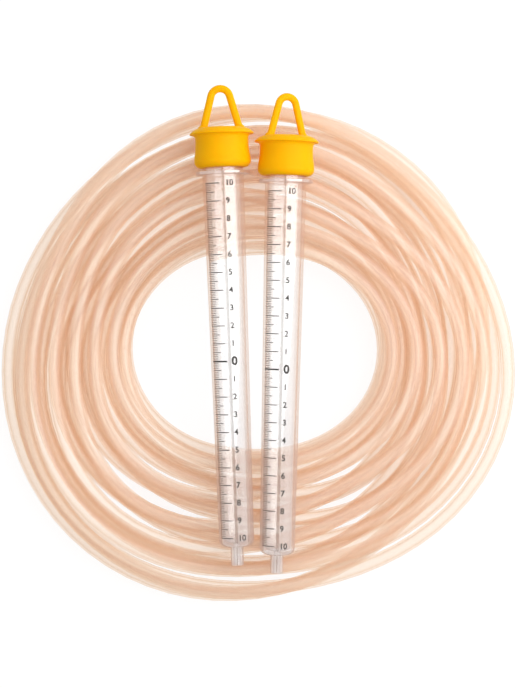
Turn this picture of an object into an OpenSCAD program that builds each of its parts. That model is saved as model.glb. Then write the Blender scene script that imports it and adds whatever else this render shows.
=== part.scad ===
// Hydrostatic level for levelling work: a coil of clear hose with two graduated flasks lying on it.
// Each flask is a moulded barrel with a hose spigot at its foot and a soft cap with a hanging loop.
// Millimetres, +Z up. The coil lies flat on the ground plane with its middle near the origin.

/* [Hose] */
// Outside diameter of the hose
hose_od = 8; // [7.4:0.1:8.1]
// Inside diameter of the hose
hose_id = 6; // [5.6:0.1:6.4]
// Free height between one layer of loops and the next
layer_gap = 0.5; // [0.5:0.1:1.5]
// Mean radius of the outermost loops
coil_radius = 140; // [139:0.5:148]
// Mean radius of the innermost loops
hole_radius = 68; // [62:0.5:69]
// Depth of the open bore drawn at each end of the hose
end_bore = 7; // [4:0.5:7.5]

/* [Flask barrel] */
// Length of the barrel from the collar to its foot
barrel_length = 210.5; // [200:0.5:216]
// Outside diameter just under the collar
barrel_od_top = 23.2; // [22.4:0.1:24]
// Outside diameter at the foot
barrel_od_foot = 19.8; // [19:0.1:21]
// Wall thickness of the barrel
barrel_wall = 1.4; // [1.2:0.1:1.7]
// Radius of the rounded foot
foot_round = 3.5; // [2.5:0.1:4]
// Diameter of the collar that stops the cap
collar_od = 30.6; // [29:0.1:31]
// Thickness of the collar
collar_thick = 2; // [1.6:0.1:2.4]
// Outside diameter of the neck inside the cap
neck_od = 22.6; // [21.6:0.1:22.8]
// Rounding of the collar's edge and chamfer of the rim
edge_round = 0.5; // [0.3:0.1:0.7]
// Fillet under the collar
collar_fillet = 0.8; // [0.4:0.1:1.2]
// Thickness of the floor round the water way
floor_thick = 2; // [1.6:0.1:2.6]
// Depth of the dished floor
dish_depth = 5; // [4:0.5:7]

/* [Spigot] */
// Length of the hose spigot below the foot
spigot_length = 11; // [9:0.5:13]
// How much wider the spigot is than the bore of the hose
spigot_grip = 1.4; // [1.2:0.1:1.8]
// Wall thickness of the spigot
spigot_wall = 1.7; // [1.4:0.1:2]
// Radius of the fillet at the root of the spigot
spigot_fillet = 1; // [0.6:0.1:1.4]
// Lead-in chamfer at the tip of the spigot, and half of it at the inlet
tip_chamfer = 0.8; // [0.4:0.1:1]

/* [Cap] */
// Height of the cap without its loop
cap_height = 22.6; // [21.6:0.1:24]
// Thickness of the closed top
cap_top = 2.8; // [2.4:0.1:3.4]
// Diameter of the brim
brim_od = 36.2; // [35:0.1:36.4]
// Drop from the top of the cap to the brim's edge
brim_drop = 3.6; // [3:0.1:4]
// Rounding of the brim's edge
brim_edge = 0.3; // [0.2:0.05:0.5]
// Fillet between the waist and the underside of the brim
brim_fillet = 2.4; // [1.6:0.1:2.6]
// Radius of the flat crown inside the brim's slope
crown_r = 12.7; // [12.6:0.1:13.4]
// Diameter of the bulge above the cap's lower lip
bulge_od = 32; // [31.2:0.1:32.6]
// Rounding from the bulge down to the lip
lip_round = 3.6; // [3:0.1:4]
// Height of the waist's lower end above the lip
waist_z = 10.6; // [9:0.1:12]
// Diameter of the waist below the brim
waist_od = 30; // [29:0.1:30.6]
// Clearance round the neck on each side and above its rim
cap_fit = 0.3; // [0.2:0.05:0.4]
// Bare neck left between the cap's lower lip and the collar
neck_bare = 2; // [1:0.1:3]

/* [Hanging loop] */
// Height of the loop above the cap
loop_height = 24; // [21:0.5:27]
// Width of the loop's strand, seen from the front
loop_width = 4.2; // [3.6:0.1:4.6]
// Thickness of the strand, front to back
loop_thick = 3.4; // [3:0.1:3.6]
// Radius of the bend at the top, to the middle of the strand
loop_bend = 5.4; // [4.6:0.1:6]
// Distance between the middles of the loop's feet
loop_foot = 20; // [17:0.5:21]
// Turn of the right-hand cap about its own axis, in degrees
right_turn = 24; // [0:1:45]

/* [Layout] */
// Place of the left flask's collar along X
left_x = -19.1; // [-21:0.1:-19]
// Place of the left flask's collar along Y
left_y = 99; // [97:0.5:101]
// Lean of the left flask from the Y axis, in degrees
left_lean = 2.1; // [1.8:0.1:2.6]
// Place of the right flask's collar along X
right_x = 16.2; // [16:0.1:18]
// Place of the right flask's collar along Y
right_y = 94.4; // [92.4:0.5:96.4]
// Lean of the right flask from the Y axis, in degrees
right_lean = -1.3; // [-1.8:0.1:-1]
// Clearance between the flasks and the loops they lie on
rest_gap = 0.3; // [0.2:0.05:0.6]

/* [Hidden] */
$fn = 48;

// Coil: four layers of loops, spiralling out, in, out and in again. A profile gives a radius over the
// direction: mean, shift along X, shift along Y, oval part and its direction, three-cornered part and
// its direction. A layer begins at one of these profiles and ends at the next.
ends = [
    [hole_radius + 1, 0, 0, 5, 0, 0, 0],
    [coil_radius + 1, -6, -4, 6, 52, 0, 0],
    [hole_radius, 0, 0, 6, 0, 0, 0],
    [coil_radius, 2, -2, 0, 0, 5, 100],
    [hole_radius - 2, 0, 0, 8, 0, 0, 0]];
// Half-way through a layer its loops wander off the even spiral by one of these, so that layers cross
// one another as in a coil thrown by hand.
wander = [
    [0, 0, 0, 0, 0, 5, 80],
    [0, 0, 0, 5, 107, 0, 0],
    [0, 0, 0, 0, 0, 5, 68],
    [0, -3.8, -1.4, 0, 0, 5, 122]];
// Turns in each layer; between two layers the hose climbs in half a turn. The counts set the loops of
// one layer half a pitch beside those two layers below, and both ends of the hose under the left flask.
turns = [5.25, 5.25, 5.25, 16 / 3];
climb = 0.5;
start_angle = 260;
rings_per_turn = 24;
top_layer = len(turns) - 1;
stage_turns = [for (k = [0:2 * top_layer]) k % 2 == 0 ? turns[k / 2] : climb];
function sum_to(list, k) = k == 0 ? 0 : list[k - 1] + sum_to(list, k - 1);
stage = [for (k = [0:2 * top_layer + 1]) round(rings_per_turn * sum_to(stage_turns, k))];
ring_count = stage[2 * top_layer + 1];
lift = hose_od + layer_gap;
hose_r = hose_od / 2;
bed_z = 0.4 * hose_od;
coil_top = bed_z + top_layer * lift + hose_r;

function profile(p, a) = p[0] + p[1] * cos(a) + p[2] * sin(a) + p[3] * cos(2 * (a - p[4]))
    + p[5] * cos(3 * (a - p[6]));
function between(p, q, t, a) = profile(p, a) * (1 - t) + profile(q, a) * t;
function ease(t) = 0.5 - 0.5 * cos(180 * t);
function stage_of(i, k = 0) = k == 2 * top_layer || i < stage[k + 1] ? k : stage_of(i, k + 1);
function part_of(i, k) = (i - stage[k]) / (stage[k + 1] - stage[k]);
function ring_angle(i) = start_angle + 360 * i / rings_per_turn;
function layer_radius(n, t, a) = between(ends[n], ends[n + 1], t, a)
    + pow(sin(180 * t), 2) * profile(wander[n], a);
function ring_radius(i) = let (a = ring_angle(i), k = stage_of(i), n = floor(k / 2))
    k % 2 == 0 ? layer_radius(n, part_of(i, k), a) : profile(ends[n + 1], a);
function ring_layer(i) = let (k = stage_of(i))
    floor(k / 2) + (k % 2 == 0 ? 0 : ease(part_of(i, k)));
function ring_at(i) = let (a = ring_angle(i), r = ring_radius(i))
    [r * cos(a), r * sin(a), bed_z + lift * ring_layer(i)];
function heading(i) = let (d = ring_at(i + 0.05) - ring_at(i - 0.05))
    [d[0], d[1], 0] / norm([d[0], d[1], 0]);

// The two straight ends, one hose diameter long
tail_in = ring_at(0) - hose_od * heading(0.05);
tail_out = ring_at(ring_count) + hose_od * heading(ring_count);
centres = concat([tail_in], [for (i = [0:ring_count]) ring_at(i)], [tail_out]);
courses = concat(
    [heading(0.05)],
    [for (i = [0:ring_count]) heading(i == 0 ? 0.05 : i)],
    [heading(ring_count)]);
ring_total = len(centres);

// Six-sided section with flats above and below; the lowest loops are pressed flat on the ground
section = [[1, 0], [0.5, 1], [-0.5, 1], [-1, 0], [-0.5, -1], [0.5, -1]];
function section_at(c, h, r, low) = [for (s = section) let (z = c[2] + r * s[1])
    [c[0] - h[1] * r * s[0], c[1] + h[0] * r * s[0], max(z, low)]];
bore_r = hose_id / 2;
wall_kept = 0.8;
bore_low = wall_kept * (hose_od - hose_id) / 2;

coil_points = concat(
    [for (k = [0:ring_total - 1]) each section_at(centres[k], courses[k], hose_r, 0)],
    section_at(tail_in, courses[0], bore_r, bore_low),
    section_at(tail_in + end_bore * courses[0], courses[0], bore_r, bore_low),
    section_at(tail_out, courses[ring_total - 1], bore_r, bore_low),
    section_at(tail_out - end_bore * courses[ring_total - 1], courses[ring_total - 1], bore_r, bore_low));
function band(p, q) = [for (j = [0:5]) let (n = (j + 1) % 6)
    each [[p + j, p + n, q + n], [p + j, q + n, q + j]]];
mouth_in = 6 * ring_total;
mouth_out = mouth_in + 12;
last_ring = 6 * (ring_total - 1);
coil_faces = concat(
    [for (k = [0:ring_total - 2]) each band(6 * k, 6 * k + 6)],
    band(mouth_in, 0),
    band(mouth_in + 6, mouth_in),
    [[for (j = [0:5]) mouth_in + 6 + j]],
    band(last_ring, mouth_out),
    band(mouth_out, mouth_out + 6),
    [[for (j = [5:-1:0]) mouth_out + 6 + j]]);

// Free distance between loops, measured where they cross the same direction
loop_gaps = [for (m = [1:22], i = [0:ring_count - m * rings_per_turn])
    norm([ring_radius(i + m * rings_per_turn) - ring_radius(i),
        lift * (ring_layer(i + m * rings_per_turn) - ring_layer(i))]) - hose_od];
fine = 5;
steps = [for (k = [1:ring_count * fine]) norm(ring_at(k / fine) - ring_at((k - 1) / fine))];
coil_length = 2 * hose_od + steps * [for (k = steps) 1];
echo(least_gap = min(loop_gaps), hose_length = coil_length);

// Lap of the loop's legs in its bend
loop_slim = 0.04;
loop_lap = 0.4;

// Flask: heights along its own axis, up from the underside of the collar
lip_z = collar_thick + neck_bare;
cap_top_z = lip_z + cap_height;
brim_z = cap_top_z - brim_drop;
neck_top = cap_top_z - cap_top - cap_fit;
foot_z = -barrel_length;
tip_z = foot_z - spigot_length;
top_r = barrel_od_top / 2;
foot_r = barrel_od_foot / 2;
neck_r = neck_od / 2;
spigot_r = (hose_id + spigot_grip) / 2;
spigot_bore = spigot_r - spigot_wall;
floor_z = foot_z + floor_thick;

// Tilt at which both the brim and the foot clear the top of the coil by the rest gap
tilt = atan((brim_od / 2 - foot_r) / (brim_z - foot_z - foot_round));
collar_z = coil_top + rest_gap + brim_od / 2 * cos(tilt) - brim_z * sin(tilt);

function arc(cx, cz, r, a0, a1, n) = [for (i = [0:n]) let (a = a0 + (a1 - a0) * i / n)
    [cx + r * cos(a), cz + r * sin(a)]];
function blend(p, q, n) = [for (i = [0:n]) let (t = i / n)
    [p[0] + (q[0] - p[0]) * ease(t), p[1] + (q[1] - p[1]) * t]];

module lay_flask(x, y, lean) {
    translate([x, y, collar_z])
        rotate([0, 0, lean])
            rotate([tilt - 90, 0, 0])
                children();
}

module barrel() {
    inner_foot = foot_r - barrel_wall;
    inlet = spigot_bore + tip_chamfer / 2;
    outline = concat(
        [[neck_r - barrel_wall, neck_top], [neck_r - edge_round, neck_top], [neck_r, neck_top - edge_round]],
        [[neck_r, collar_thick]],
        arc(collar_od / 2 - edge_round, collar_thick - edge_round, edge_round, 90, 0, 2),
        arc(collar_od / 2 - edge_round, edge_round, edge_round, 0, -90, 2),
        arc(top_r + collar_fillet, -collar_fillet, collar_fillet, 90, 180, 3),
        arc(foot_r - foot_round, foot_z + foot_round, foot_round, 0, -90, 5),
        arc(spigot_r + spigot_fillet, foot_z - spigot_fillet, spigot_fillet, 90, 180, 3),
        [[spigot_r, tip_z + tip_chamfer], [spigot_r - tip_chamfer / 2, tip_z]],
        [[spigot_bore, tip_z], [spigot_bore, floor_z - tip_chamfer / 2]],
        [for (i = [0:5]) let (a = 18 * i)
            [inlet + (inner_foot - inlet) * sin(a), floor_z + dish_depth * (1 - cos(a))]],
        [[top_r - barrel_wall, -collar_fillet]]);
    rotate_extrude()
        polygon(outline);
}

module strand_section(slim) {
    side = (loop_width - loop_thick) / 2;
    polygon(concat(
        arc(side, 0, loop_thick / 2 - slim, -90, 90, 8),
        arc(-side, 0, loop_thick / 2 - slim, 90, 270, 8)));
}

// The legs are slimmer than the bend by a hair, and run a little way into it
module loop() {
    bend_z = loop_height - loop_bend - loop_width / 2;
    reach = norm([loop_foot / 2, bend_z]);
    flare = atan(loop_foot / 2 / bend_z) - asin(loop_bend / reach);
    leg = sqrt(reach * reach - loop_bend * loop_bend);
    root = cap_top / 2;
    translate([0, 0, bend_z])
        rotate([90, 0, 0])
            rotate([0, 0, flare])
                rotate_extrude(angle = 180 - 2 * flare)
                    translate([loop_bend, 0])
                        strand_section(0);
    for (s = [0, 1])
        mirror([s, 0, 0])
            translate([loop_foot / 2, 0, 0])
                rotate([0, -flare, 0])
                    translate([0, 0, -root])
                        linear_extrude(root + leg + loop_lap)
                            strand_section(loop_slim);
}

module cap() {
    bore = neck_r + cap_fit;
    bore_top = cap_height - cap_top;
    brim = cap_height - brim_drop;
    brim_r = brim_od / 2 - brim_edge;
    fillet_z = brim - brim_edge - brim_fillet;
    slope_z = brim + brim_edge;
    shell = concat(
        [[0, bore_top], [bore, bore_top], [bore, 0]],
        arc(bulge_od / 2 - lip_round, lip_round, lip_round, -90, 0, 4),
        blend([bulge_od / 2, lip_round + brim_edge], [waist_od / 2, waist_z], 4),
        arc(waist_od / 2 + brim_fillet, fillet_z, brim_fillet, 180, 90, 4),
        arc(brim_r, brim, brim_edge, -90, 90, 2),
        [for (i = [1:4]) let (t = i / 4)
            [brim_r + (crown_r - brim_r) * t, slope_z + (cap_height - slope_z) * sin(90 * t)]],
        [[0, cap_height]]);
    translate([0, 0, lip_z]) {
        rotate_extrude()
            polygon(shell);
        translate([0, 0, cap_height])
            loop();
    }
}

module hose_coil() {
    color([0.93, 0.79, 0.66])
        polyhedron(points = coil_points, faces = coil_faces, convexity = 30);
}

module left_barrel() {
    color([0.9, 0.92, 0.94])
        lay_flask(left_x, left_y, left_lean)
            barrel();
}

module right_barrel() {
    color([0.9, 0.92, 0.94])
        lay_flask(right_x, right_y, right_lean)
            barrel();
}

module left_cap() {
    color([1, 0.72, 0.02])
        lay_flask(left_x, left_y, left_lean)
            cap();
}

module right_cap() {
    color([1, 0.72, 0.02])
        lay_flask(right_x, right_y, right_lean)
            rotate([0, 0, right_turn])
                cap();
}

hose_coil();
left_barrel();
right_barrel();
left_cap();
right_cap();
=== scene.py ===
import math

import bmesh
import bpy
from mathutils import Matrix, Vector


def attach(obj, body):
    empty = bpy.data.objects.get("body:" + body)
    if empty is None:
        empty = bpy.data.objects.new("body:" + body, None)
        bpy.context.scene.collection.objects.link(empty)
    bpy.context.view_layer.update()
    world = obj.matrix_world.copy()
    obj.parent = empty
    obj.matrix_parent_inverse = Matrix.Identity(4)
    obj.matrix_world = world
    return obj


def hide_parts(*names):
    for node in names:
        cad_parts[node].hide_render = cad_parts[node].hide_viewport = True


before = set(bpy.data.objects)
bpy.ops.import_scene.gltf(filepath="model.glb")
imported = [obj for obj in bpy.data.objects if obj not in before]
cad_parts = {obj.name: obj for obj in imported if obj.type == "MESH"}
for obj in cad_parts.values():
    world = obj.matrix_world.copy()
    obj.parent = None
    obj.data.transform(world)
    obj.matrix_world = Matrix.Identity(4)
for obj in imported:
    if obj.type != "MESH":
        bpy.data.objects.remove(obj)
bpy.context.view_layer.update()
scene = bpy.context.scene
scene.view_settings.view_transform = "Standard"


# Camera: straight above the coil, as a product picture on a white sheet is taken.
# The picture is 516 by 688 pixels; a long lens a metre up gives 1.71 pixels to the millimetre at the coil.
mm = 0.001
picture_height = 688
focal_pixels = 1765
sensor_width = 36
camera = bpy.data.objects.new("camera", bpy.data.cameras.new("camera"))
camera.data.sensor_width = sensor_width
camera.data.lens = sensor_width * focal_pixels / picture_height
camera.location = (0.6 * mm, 3.5 * mm, 1047 * mm)
scene.collection.objects.link(camera)
scene.camera = camera


# Hose: one 15 m length of clear extruded PVC tube, 8 mm outside and 6 mm inside, wound by hand into a
# coil. Four layers of loops spiral out and in by turns and wander across one another, and the hose climbs
# half a turn between layers. It is soft, so its own weight presses the lowest loops flat on the ground.
hose_diameter = 8 * mm
hose_wall = 1 * mm
hose_sides = 20
layer_lift = 8.5 * mm
bed_height = 3.2 * mm
coil_radius = 140 * mm
hole_radius = 68 * mm
start_angle = math.radians(260)
rings_per_turn = 72
merge_within = 0.001 * mm

# Radius of a turn over its direction: mean, shift along X and Y, oval part and where it points in degrees,
# three-cornered part and where it points. A layer begins at one of these profiles and ends at the next.
ends = [
    [hole_radius + 1 * mm, 0, 0, 5 * mm, 0, 0, 0],
    [coil_radius + 1 * mm, -6 * mm, -4 * mm, 6 * mm, 52, 0, 0],
    [hole_radius, 0, 0, 6 * mm, 0, 0, 0],
    [coil_radius, 2 * mm, -2 * mm, 0, 0, 5 * mm, 100],
    [hole_radius - 2 * mm, 0, 0, 8 * mm, 0, 0, 0],
]

# Half-way through a layer its loops wander off the even spiral by one of these
wander = [
    [0, 0, 0, 0, 0, 5 * mm, 80],
    [0, 0, 0, 5 * mm, 107, 0, 0],
    [0, 0, 0, 0, 0, 5 * mm, 68],
    [0, -3.8 * mm, -1.4 * mm, 0, 0, 5 * mm, 122],
]
layer_turns = [5.25, 5.25, 5.25, 16 / 3]
climb_turns = 0.5
top_layer = len(layer_turns) - 1
all_turns = sum(layer_turns) + climb_turns * top_layer


def turn_radius(profile, angle):
    mean, along_x, along_y, oval, oval_at, corner, corner_at = profile
    round_part = mean + along_x * math.cos(angle) + along_y * math.sin(angle)
    oval_part = oval * math.cos(2 * (angle - math.radians(oval_at)))
    return round_part + oval_part + corner * math.cos(3 * (angle - math.radians(corner_at)))


def hose_point(turn):
    """Where the middle of the hose is after this many turns from its lower end."""
    angle = start_angle + 2 * math.pi * turn
    layer = 0
    while turn > layer_turns[layer] + climb_turns and layer < top_layer:
        turn -= layer_turns[layer] + climb_turns
        layer += 1
    first, last = ends[layer], ends[layer + 1]
    if turn > layer_turns[layer] and layer < top_layer:
        radius = turn_radius(last, angle)
        layer += 0.5 - 0.5 * math.cos(math.pi * (turn - layer_turns[layer]) / climb_turns)
    else:
        part = turn / layer_turns[layer]
        radius = turn_radius(first, angle) * (1 - part) + turn_radius(last, angle) * part
        radius += math.sin(math.pi * part) ** 2 * turn_radius(wander[layer], angle)
    return Vector((radius * math.cos(angle), radius * math.sin(angle), bed_height + layer_lift * layer))


hose_line = [hose_point(k / rings_per_turn) for k in range(round(all_turns * rings_per_turn) + 1)]
free_start = hose_line[0] + hose_diameter * (hose_line[0] - hose_line[1]).normalized()
free_end = hose_line[-1] + hose_diameter * (hose_line[-1] - hose_line[-2]).normalized()
hose_line = [free_start, *hose_line, free_end]


def mesh_of(name, curve):
    """What Blender makes of a curve or of letters, as a mesh to work on."""
    holder = bpy.data.objects.new(name, curve)
    scene.collection.objects.link(holder)
    bpy.context.view_layer.update()
    mesh = bpy.data.meshes.new_from_object(holder.evaluated_get(bpy.context.evaluated_depsgraph_get()))
    bpy.data.objects.remove(holder)
    bm = bmesh.new()
    bm.from_mesh(mesh)
    bpy.data.meshes.remove(mesh)
    return bm


def tube_mesh(name, line, radius, sides, swell=None, filled=False):
    """A round tube along a line. swell gives the tube's share of its radius at each point."""
    curve = bpy.data.curves.new(name, "CURVE")
    curve.dimensions = "3D"
    curve.twist_mode = "Z_UP"
    curve.bevel_depth = radius
    curve.bevel_resolution = sides // 2 - 2
    curve.use_fill_caps = filled
    spline = curve.splines.new("POLY")
    spline.points.add(len(line) - 1)
    for k, (point, at) in enumerate(zip(spline.points, line)):
        point.co = (*at, 1)
        point.radius = swell[k] if swell else 1
    bm = mesh_of(name, curve)
    bmesh.ops.remove_doubles(bm, verts=bm.verts[:], dist=merge_within)
    bmesh.ops.recalc_face_normals(bm, faces=bm.faces[:])
    return bm


def finished_piece(name, bm, finish, body, sharp=40):
    """Makes the mesh an object in its place, smooth over edges up to so many degrees, riding on a body."""
    mesh = bpy.data.meshes.new(name)
    bm.to_mesh(mesh)
    bm.free()
    mesh.polygons.foreach_set("use_smooth", [True] * len(mesh.polygons))
    mesh.set_sharp_from_angle(angle=math.radians(sharp))
    mesh.materials.append(finish)
    piece = bpy.data.objects.new(name, mesh)
    scene.collection.objects.link(piece)
    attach(piece, body)
    return piece


class Wire:
    """A socket of a shader tree. Sums and products of wires become Math nodes."""

    def __init__(self, tree, socket=None):
        self.tree = tree
        self.socket = socket

    def node(self, kind, settings, values, output=0):
        added = self.tree.nodes.new("ShaderNode" + kind)
        for name, value in settings.items():
            setattr(added, name, value)
        self.feed(added, values)
        return Wire(self.tree, added.outputs[output])

    def feed(self, node, values):
        for name, value in values.items():
            if isinstance(value, Wire):
                self.tree.links.new(value.socket, node.inputs[name])
            else:
                node.inputs[name].default_value = value

    def math(self, operation, first, second):
        return self.node("Math", {"operation": operation}, {0: first, 1: second})

    def __add__(self, other):
        return self.math("ADD", self, other)

    def __radd__(self, other):
        return self.math("ADD", other, self)

    def __mul__(self, other):
        return self.math("MULTIPLY", self, other)

    def __rmul__(self, other):
        return self.math("MULTIPLY", other, self)

    def noise(self, scale):
        return self.node("TexNoise", {}, {"Vector": self, "Scale": scale, "Detail": 2})

    def rim(self):
        """Nought where a surface faces the eye, rising to one where it turns away."""
        return self.node("LayerWeight", {}, {"Blend": 0.5}, "Facing")

    def blend(self, first, second):
        """A colour between two, by this wire."""
        return self.node("Mix", {"data_type": "RGBA"}, {0: self, 6: (*first, 1), 7: (*second, 1)}, 2)

    def bump(self, strength, distance):
        return self.node("Bump", {}, {"Height": self, "Strength": strength, "Distance": distance})

    def mix(self, first, second):
        """One shader with another over it, by this wire."""
        return self.node("MixShader", {}, {0: self, 1: first, 2: second})

    def tint(self, colour):
        """Light that passes straight through, with this colour."""
        return self.node("BsdfTransparent", {}, {"Color": (*colour, 1)})

    def show(self):
        """Makes a mixed shader the surface of its material."""
        self.tree.links.new(self.socket, self.tree.nodes["Material Output"].inputs["Surface"])


def new_finish(name, constants):
    """A material with these plain values: itself, its shader and the wire of the place on the piece."""
    finish = bpy.data.materials.new(name)
    finish.use_nodes = True
    shader = finish.node_tree.nodes["Principled BSDF"]
    place = Wire(finish.node_tree).node("TexCoord", {}, {}, "Object")
    place.feed(shader, constants)
    return finish, shader, place


hose_finish, shader, place = new_finish("clear_peach_pvc", {"IOR": 2.4})
place.feed(shader, {
    "Base Color": place.noise(28).blend((0.99, 0.885, 0.83), (0.98, 0.865, 0.79)),
    "Roughness": 0.22 + 0.08 * place.noise(160),
})
rim = place.rim()
see_through = rim.mix(place.tint((0.998, 0.977, 0.95)), place.tint((0.99, 0.89, 0.785)))
body_share = 0.12 + 0.12 * rim
body_share.mix(see_through, Wire(place.tree, shader.outputs[0])).show()

bm = tube_mesh("hose", hose_line, hose_diameter / 2, hose_sides)
for vert in bm.verts:
    vert.co.z = max(vert.co.z, 0)
bmesh.ops.solidify(bm, geom=bm.faces[:], thickness=hose_wall)
bmesh.ops.recalc_face_normals(bm, faces=bm.faces[:])
hose = finished_piece("hose", bm, hose_finish, "hose", sharp=60)
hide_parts("hose_coil")


# Flask barrels: two tapered measuring tubes of clear moulded polystyrene, open at the neck, with a collar
# that stops the cap and a spigot at the foot which the hose is pushed on. They lie loose on the coil, on
# the brim of the cap and on the foot. Sizes are in millimetres along the flask, from under its collar.
wall_top = -0.8
wall_top_radius = 11.6
wall_foot = -207
foot_radius = 9.9
brim_radius = 18.1
brim_height = 23
coil_top = 32.7
rest_gap = 0.3
tilt = math.atan((brim_radius - foot_radius) / (brim_height - wall_foot))
collar_height = coil_top + rest_gap + brim_radius * math.cos(tilt) - brim_height * math.sin(tilt)


def flask_place(x, y, lean):
    """From a flask's own axis, with its collar at zero and its cap upwards, to where it lies."""
    lying = Matrix.Rotation(math.radians(lean), 4, "Z") @ Matrix.Rotation(tilt - math.pi / 2, 4, "X")
    return Matrix.Translation((x * mm, y * mm, collar_height * mm)) @ lying


flasks = {"left": flask_place(-19.1, 99, 2.1), "right": flask_place(16.2, 94.4, -1.3)}


def lathe(corners, closed, segments=96, rounding_steps=8):
    """Turns an outline about the Z axis. Each corner has its radius, height and rounding in millimetres."""
    bm = bmesh.new()
    verts = [bm.verts.new((radius * mm, 0, height * mm)) for radius, height, _ in corners]
    for first, second in zip(verts, verts[1:] + verts[:1] if closed else verts[1:]):
        bm.edges.new((first, second))
    for vert, (_, _, rounding) in zip(verts, corners):
        if rounding:
            bmesh.ops.bevel(bm, geom=[vert], offset=rounding * mm, offset_type="OFFSET", affect="VERTICES",
                            segments=rounding_steps, profile=0.5, material=-1, clamp_overlap=True)
    bmesh.ops.spin(bm, geom=bm.verts[:] + bm.edges[:], cent=(0, 0, 0), axis=(0, 0, 1), angle=2 * math.pi,
                   steps=segments, use_merge=True)
    bmesh.ops.remove_doubles(bm, verts=bm.verts[:], dist=merge_within)
    bmesh.ops.recalc_face_normals(bm, faces=bm.faces[:])
    return bm


# From the mouth down the outside, over neck, collar, wall, foot and spigot, and up the inside
barrel_outline = [
    (9.9, 23.5, 0.2),
    (11.3, 23.5, 0.5),
    (11.3, 2, 0.3),
    (15.3, 2, 0.5),
    (15.3, 0, 0.5),
    (wall_top_radius, 0, 0.8),
    (foot_radius, -210.5, 3.5),
    (3.7, -210.5, 1),
    (3.7, -221.5, 0.5),
    (2, -221.5, 0.2),
    (2, -208.5, 0.5),
    (8.5, -208.5, 4.9),
    (10.2, -0.8, 0.5),
]
collar_starts = 12
foot_starts = -206

# Collar and foot are thick plastic and are drawn more opaque than the wall. Their colour is mixed towards a
# darker grey, which is painted shade standing in for the darkness that refraction gives thick clear plastic
barrel_finish, shader, place = new_finish("clear_polystyrene", {"IOR": 6})
thick_and_shaded = place.node("Attribute", {"attribute_name": "thick_and_shaded"}, {}, "Fac")
place.feed(shader, {
    "Base Color": (0.8 * thick_and_shaded + 0.2 * place.noise(40)).blend((1, 0.95, 0.93), (0.55, 0.47, 0.47)),
    "Roughness": 0.08 + 0.05 * place.noise(120),
    "Normal": place.noise(30).bump(0.03, 0.3 * mm),
})
rim = place.rim()
see_through = (rim * rim).mix(place.tint((1, 1, 1)), place.tint((0.88, 0.74, 0.63)))
body_share = 0.14 + thick_and_shaded * (0.15 + 0.35 * rim)
body_share.mix(see_through, Wire(place.tree, shader.outputs[0])).show()

for side, flask in flasks.items():
    bm = lathe(barrel_outline, closed=True)
    # Marks the collar and foot, which the finish draws more opaque and in a darker grey of painted shade
    thick_and_shaded_layer = bm.verts.layers.float.new("thick_and_shaded")
    for vert in bm.verts:
        in_collar = math.hypot(vert.co.x, vert.co.y) > collar_starts * mm
        vert[thick_and_shaded_layer] = 1 if in_collar or vert.co.z < foot_starts * mm else 0
    bm.transform(flask)
    barrel = finished_piece(side + "_clear_barrel", bm, barrel_finish, side + "_flask")
    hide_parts(side + "_barrel")


# Scale: black ink printed on each barrel, which reads ten centimetres up and ten down from a bold 0. The
# ticks run round the barrel left of the middle, and the numbers stand beside them on the right.
scale_middle = -105
ink_lift = 0.05
ticks_start = math.radians(-60)
tick_steps = 6
numbers_start = math.radians(6)
font_figure_height = 0.73
slice_width = 0.4
slices = 16

# Where a kind of tick ends in degrees, and its thickness in millimetres
zero_tick = (-8, 0.9)
centimetre_tick = (-11, 0.5)
half_tick = (-27, 0.4)
millimetre_tick = (-37, 0.28)

# Height of the figures, and how far their strokes are thickened on each side, in millimetres
zero_figure = (4.9, 0.24)
centimetre_figure = (3.4, 0.1)


def ink_radius(height):
    """Radius of the print on the tapered barrel, in millimetres, at a height under its collar."""
    taper = (wall_top_radius - foot_radius) / (wall_top - wall_foot)
    return wall_top_radius + taper * (height - wall_top) + ink_lift


def add_tick(bm, height, end_angle, thickness):
    radius = ink_radius(height)
    edge = []
    for z in (height - thickness / 2, height + thickness / 2):
        at = Vector((radius * math.sin(ticks_start), -radius * math.cos(ticks_start), z)) * mm
        edge.append(bm.verts.new(at))
    line = bm.edges.new(edge)
    bmesh.ops.spin(bm, geom=[*edge, line], cent=(0, 0, 0), axis=(0, 0, 1),
                   angle=math.radians(end_angle) - ticks_start, steps=tick_steps, use_merge=False)


def join(bm, added):
    """Puts one mesh into another."""
    mesh = bpy.data.meshes.new("joined")
    added.to_mesh(mesh)
    added.free()
    bm.from_mesh(mesh)
    bpy.data.meshes.remove(mesh)


def add_number(bm, text, height, size, weight):
    """Sets a number in the font, cuts it into narrow slices and bends it round the barrel."""
    letters = bpy.data.curves.new("number", "FONT")
    letters.body = text
    letters.size = size / font_figure_height
    letters.offset = weight
    letters.align_y = "CENTER"
    number = mesh_of("number", letters)
    for k in range(1, slices):
        bmesh.ops.bisect_plane(number, geom=number.verts[:] + number.edges[:] + number.faces[:],
                               plane_co=(slice_width * k, 0, 0), plane_no=(1, 0, 0))
    for vert in number.verts:
        z = height + vert.co.y
        radius = ink_radius(z)
        angle = numbers_start + vert.co.x / radius
        vert.co = Vector((radius * math.sin(angle), -radius * math.cos(angle), z)) * mm
    join(bm, number)


ink_finish, shader, place = new_finish("scale_ink", {})
place.feed(shader, {
    "Base Color": place.noise(300).blend((0.012, 0.01, 0.009), (0.03, 0.025, 0.022)),
    "Roughness": 0.4 + 0.2 * place.noise(500),
})

for side, flask in flasks.items():
    bm = bmesh.new()
    for mark in range(-100, 101):
        if mark == 0:
            tick = zero_tick
        elif mark % 10 == 0:
            tick = centimetre_tick
        elif mark % 5 == 0:
            tick = half_tick
        else:
            tick = millimetre_tick
        add_tick(bm, scale_middle + mark, *tick)
    bmesh.ops.recalc_face_normals(bm, faces=bm.faces[:])
    for centimetre in range(-10, 11):
        figure = centimetre_figure if centimetre else zero_figure
        add_number(bm, str(abs(centimetre)), scale_middle + 10 * centimetre, *figure)
    bm.transform(flask)
    finished_piece(side + "_printed_scale", bm, ink_finish, side + "_flask")


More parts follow.
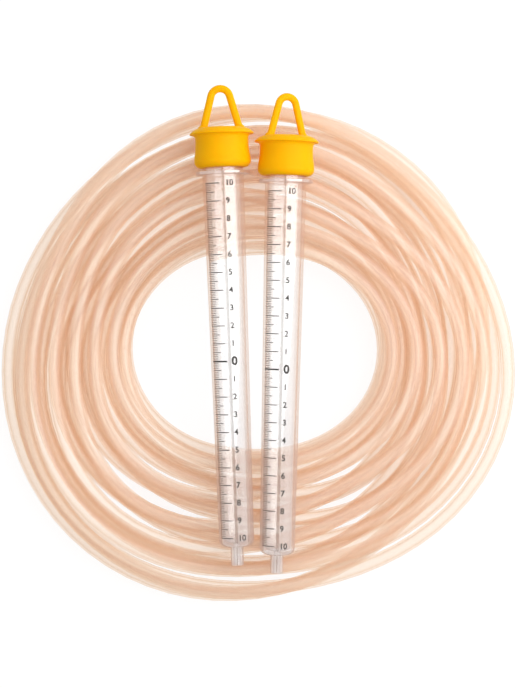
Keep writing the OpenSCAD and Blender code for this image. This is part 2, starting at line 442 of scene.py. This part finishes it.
# Caps: soft yellow polyethylene stoppers with a wide brim, pushed over the necks by hand. Each is moulded
# in one with a loop on top, by which the flask is hung up; the right-hand cap is turned a little.
cap_seat = 4
cap_height = 22.6
cap_turned = {"left": 0, "right": 24}

# From the top of the inside down to the lip, and up the outside over waist and brim to the crown
cap_outline = [
    (0, 19.8, 0),
    (11.6, 19.8, 0.5),
    (11.6, 0, 0.4),
    (16, 0, 3.6),
    (16, 5.6, 2),
    (15, 10.6, 3),
    (15, 18.7, 2.4),
    (brim_radius, 18.7, 0.28),
    (brim_radius, 19.3, 0.28),
    (14.6, cap_height, 3.2),
    (0, cap_height, 0),
]
loop_height = 24 * mm
loop_width = 4.2 * mm
loop_thickness = 3.4 * mm
loop_bend = 5.4 * mm
loop_foot = 10 * mm
loop_sides = 24
bend_steps = 24
bend_height = loop_height - loop_bend - loop_width / 2
flare = math.atan(loop_foot / bend_height) - math.asin(loop_bend / math.hypot(loop_foot, bend_height))

# Millimetres up a leg from the crown, and how many times its own width the leg is there
leg_swell = [(-1.4, 1.45), (0, 1.45), (0.25, 1.28), (0.6, 1.15), (1.1, 1.05), (1.8, 1), (6, 1), (12, 1)]

cap_finish, shader, place = new_finish("yellow_polyethylene", {
    "Specular IOR Level": 0.06,
    "Subsurface Weight": 0.4,
    "Subsurface Radius": (5 * mm, 2.5 * mm, 0.4 * mm),
})
place.feed(shader, {
    "Base Color": place.noise(60).blend((1, 0.48, 0.001), (0.99, 0.46, 0.001)),
    "Roughness": 0.42 + 0.1 * place.noise(220),
    "Normal": place.noise(900).bump(0.06, 0.05 * mm),
})


def bend_point(angle):
    return Vector((loop_bend * math.cos(angle), 0, bend_height + loop_bend * math.sin(angle)))


def loop_strand():
    """The strand from one foot inside the crown, up, round the bend and down, with its swelling."""
    foot = Vector((loop_foot, 0, 0))
    rise = (bend_point(flare) - foot).normalized()
    leg = [(foot + rise * along * mm, swell) for along, swell in leg_swell]
    turn = math.pi - 2 * flare
    bend = [(bend_point(flare + turn * k / bend_steps), 1) for k in range(bend_steps + 1)]
    far_leg = [(Vector((-at.x, 0, at.z)), swell) for at, swell in reversed(leg)]
    return zip(*leg, *bend, *far_leg)


strand, swell = loop_strand()
for side, turned in cap_turned.items():
    loop = tube_mesh("loop", strand, loop_width / 2, loop_sides, swell, filled=True)
    bmesh.ops.scale(loop, vec=(1, loop_thickness / loop_width, 1), verts=loop.verts[:])
    bmesh.ops.translate(loop, vec=(0, 0, cap_height * mm), verts=loop.verts[:])
    bm = lathe(cap_outline, closed=False)
    join(bm, loop)
    seat = Matrix.Translation((0, 0, cap_seat * mm)) @ Matrix.Rotation(math.radians(turned), 4, "Z")
    bm.transform(flasks[side] @ seat)
    cap = finished_piece(side + "_yellow_cap", bm, cap_finish, side + "_stopper")
    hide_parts(side + "_cap")


# Studio: a pale floor, a large soft box on the right, a small one behind the caps and an even pale surround.
# Above the camera hangs a dark flag, which shows as a thin dark line along the barrels. Light goes through
# many walls of the pile before it is lost.
scene.cycles.max_bounces = 48
scene.cycles.transmission_bounces = 48
scene.cycles.glossy_bounces = 8
scene.cycles.diffuse_bounces = 12
scene.cycles.transparent_max_bounces = 64
floor_size = (40, 40)
floor_height = -0.05 * mm
floor_glow = 1.1
glow_share = 0.8
flag_size = (0.5, 2.4)
flag_height = 1.35
surround = 0.58


def seen_directly(wire):
    """One for what the eye sees, straight or through or in a shiny piece, and nought for stray light."""
    straight, shiny, through = (
        wire.node("LightPath", {}, {}, name)
        for name in ("Is Camera Ray", "Is Glossy Ray", "Is Transmission Ray"))
    return wire.math("MAXIMUM", straight, wire.math("MAXIMUM", shiny, through))


def studio_sheet(name, size, height, finish):
    bm = bmesh.new()
    bmesh.ops.create_grid(bm, x_segments=1, y_segments=1, size=0.5)
    bmesh.ops.scale(bm, vec=(*size, 1), verts=bm.verts[:])
    mesh = bpy.data.meshes.new(name)
    bm.to_mesh(mesh)
    bm.free()
    mesh.materials.append(finish)
    sheet = bpy.data.objects.new(name, mesh)
    sheet.location.z = height
    scene.collection.objects.link(sheet)
    return sheet


floor_finish, shader, place = new_finish("pale_floor", {
    "Base Color": (0.8, 0.8, 0.8, 1),
    "Roughness": 0.9,
    "Specular IOR Level": 0,
})
white = place.node("Emission", {}, {"Color": (1, 1, 1, 1), "Strength": floor_glow})
(glow_share * seen_directly(place)).mix(Wire(place.tree, shader.outputs[0]), white).show()
floor = studio_sheet("floor", floor_size, floor_height, floor_finish)

# Place and size in metres, and watts
boxes = {
    "right_box": ((0.55, 0.15, 0.75), (0.7, 1.2), 7.5),
    "back_box": ((0.3, 1.3, 0.8), (0.8, 0.45), 2),
}
for name, (at, size, watts) in boxes.items():
    box = bpy.data.objects.new(name, bpy.data.lights.new(name, "AREA"))
    box.data.shape = "RECTANGLE"
    box.data.size, box.data.size_y = size
    box.data.energy = watts
    box.location = at
    box.rotation_euler = Vector(at).to_track_quat("Z", "Y").to_euler()
    scene.collection.objects.link(box)

flag_finish, _, _ = new_finish("dark_flag", {
    "Base Color": (0.2, 0.2, 0.2, 1),
    "Roughness": 1,
    "Specular IOR Level": 0,
})
flag = studio_sheet("flag", flag_size, flag_height, flag_finish)
flag.visible_camera = False
flag.visible_diffuse = False
flag.visible_shadow = False
flag.visible_transmission = False

world = bpy.data.worlds.new("surround")
world.use_nodes = True
scene.world = world
background = world.node_tree.nodes["Background"]
sky = Wire(world.node_tree)
sky.feed(background, {
    "Color": (1, 1, 1, 1),
    "Strength": surround + (1 - surround) * seen_directly(sky),
})
